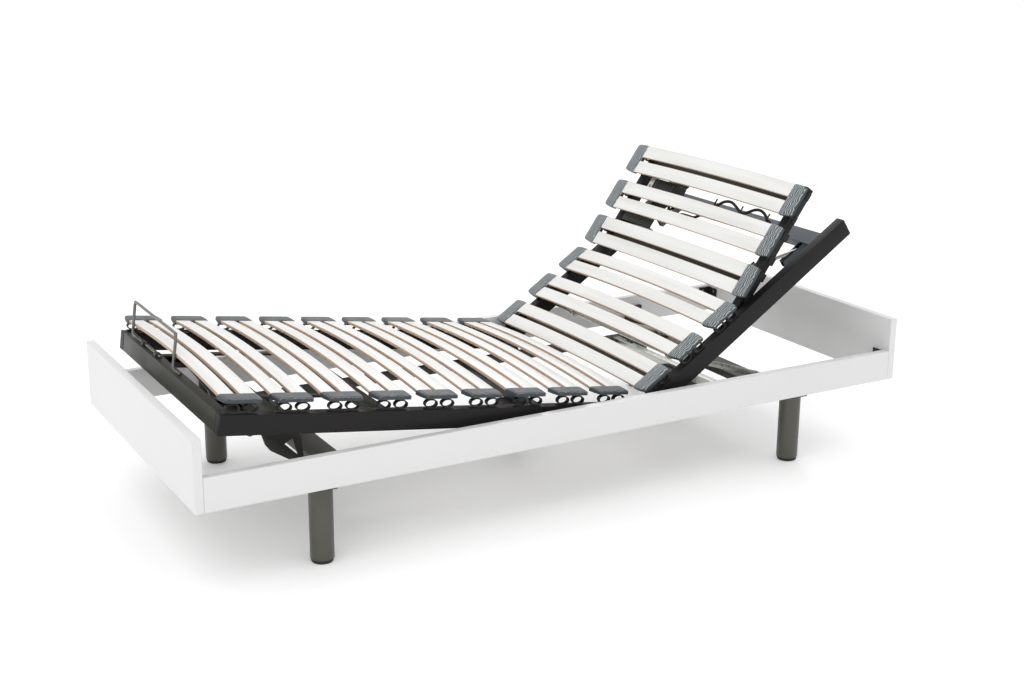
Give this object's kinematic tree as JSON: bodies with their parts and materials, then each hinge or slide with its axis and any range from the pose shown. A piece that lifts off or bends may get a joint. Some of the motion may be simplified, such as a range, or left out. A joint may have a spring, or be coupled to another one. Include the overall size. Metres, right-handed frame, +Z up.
{
  "type": "adjustable bed base",
  "caption": "Slatted adjustable bed base in a lacquered board surround, with a back part in two stages and a foot part that tilt on a hip pin, on round legs.",
  "frame": {"origin": "on the floor, below the middle of the surround", "axes": "+X towards the head end, +Y towards the right-hand side of a person lying on it face up, +Z up"},
  "size_m": [2.1, 0.88, 0.8017],
  "materials": {
    "lacquer": "satin white lacquered board",
    "frame_paint": "satin dark powder coat",
    "leg_paint": "satin grey metallic",
    "slat_wood": "white foil on laminated beech",
    "rubber": "matt black",
    "zinc": "zinc plated",
    "motor_plastic": "fine texture black",
    "nylon": "smooth nylon"
  },
  "bodies": {
    "base": {"footboard": "lacquer", "headboard": "lacquer", "side_rail_left": "lacquer", "side_rail_right": "lacquer", "head_cross_member": "frame_paint", "foot_cross_member": "frame_paint", "guide_cross_bar": "zinc", "chassis_rail_left": "frame_paint", "chassis_rail_right": "frame_paint", "leg_foot_left": "leg_paint", "leg_foot_right": "leg_paint", "leg_head_left": "leg_paint", "leg_head_right": "leg_paint", "foot_motor": "motor_plastic", "back_motor": "motor_plastic", "strut_ramp_left": "nylon", "strut_ramp_right": "nylon"},
    "foot_section": {"foot_side_tube_left": "frame_paint", "foot_side_tube_right": "frame_paint", "foot_end_crossbar": "frame_paint", "foot_lift_crossbar": "frame_paint", "foot_slat_pair_1": "slat_wood", "foot_slat_pair_2": "slat_wood", "foot_slat_pair_3": "slat_wood", "foot_slat_pair_4": "slat_wood", "foot_slat_pair_5": "slat_wood", "foot_slat_pair_6": "slat_wood", "foot_slat_pair_7": "slat_wood", "foot_slat_pair_8": "slat_wood", "foot_slat_pair_9": "slat_wood", "foot_rubber_rings_left": "rubber", "foot_rubber_rings_right": "rubber", "mattress_retainer": "zinc"},
    "back_section": {"back_side_tube_left": "frame_paint", "back_side_tube_right": "frame_paint", "back_hip_crossbar": "frame_paint", "back_strut_shaft": "zinc", "back_head_crossbar": "frame_paint", "back_slat_pair_1": "slat_wood", "back_slat_pair_2": "slat_wood", "back_slat_pair_3": "slat_wood", "back_rubber_rings_left": "rubber", "back_rubber_rings_right": "rubber"},
    "upper_back": {"upper_side_member_left": "frame_paint", "upper_side_member_right": "frame_paint", "upper_crossbar": "frame_paint", "upper_top_crossbar": "frame_paint", "control_box_crossbar": "motor_plastic", "upper_slat_pair_1": "slat_wood", "upper_slat_pair_2": "slat_wood", "upper_slat_pair_3": "slat_wood", "upper_rubber_rings_left": "rubber", "upper_rubber_rings_right": "rubber", "control_lead": "rubber"},
    "foot_lever": {"foot_lever": "frame_paint"},
    "foot_rod": {"foot_push_rod": "zinc"},
    "back_struts": {"back_strut_left": "zinc", "back_strut_right": "zinc"},
    "neck_struts": {"neck_strut_left": "zinc", "neck_strut_right": "zinc"}
  },
  "joints": [
    {"name": "foot_section_tilt", "type": "hinge", "parent": "base", "child": "foot_section", "pos_m": [0.216, 0, 0.227], "axis": [0, 1, 0], "range_deg": [-8, 4]},
    {"name": "back_section_tilt", "type": "hinge", "parent": "base", "child": "back_section", "pos_m": [0.216, 0, 0.227], "axis": [0, -1, 0], "range_deg": [-33.6, 26.4]},
    {"name": "upper_back_tilt", "type": "hinge", "parent": "back_section", "child": "upper_back", "pos_m": [0.53726, 0, 0.45725], "axis": [0, -1, 0], "range_deg": [-21, 15]},
    {"name": "foot_lever_turn", "type": "hinge", "parent": "base", "child": "foot_lever", "pos_m": [-0.585, 0, 0.16], "axis": [0, 1, 0], "range_deg": [-29, 14.6]},
    {"name": "foot_rod_slide", "type": "slide", "parent": "base", "child": "foot_rod", "axis": [-1, 0, 0], "range_m": [-0.0383, 0.0192]},
    {"name": "back_strut_turn", "type": "hinge", "parent": "back_section", "child": "back_struts", "pos_m": [0.39088, 0, 0.32518], "axis": [0, 1, 0], "range_deg": [-52.6, 41.4]},
    {"name": "neck_strut_turn", "type": "hinge", "parent": "upper_back", "child": "neck_struts", "pos_m": [0.63303, 0, 0.56094], "axis": [0, 1, 0], "range_deg": [-41.5, 30]}
  ],
  "couplings": [
    {"joint": "foot_lever_turn", "follows": "foot_section_tilt", "ratio": 3.6},
    {"joint": "foot_rod_slide", "follows": "foot_section_tilt", "m_per_rad": 0.2736},
    {"joint": "back_strut_turn", "follows": "back_section_tilt", "ratio": 1.555},
    {"joint": "neck_strut_turn", "follows": "upper_back_tilt", "ratio": 1.97}
  ]
}
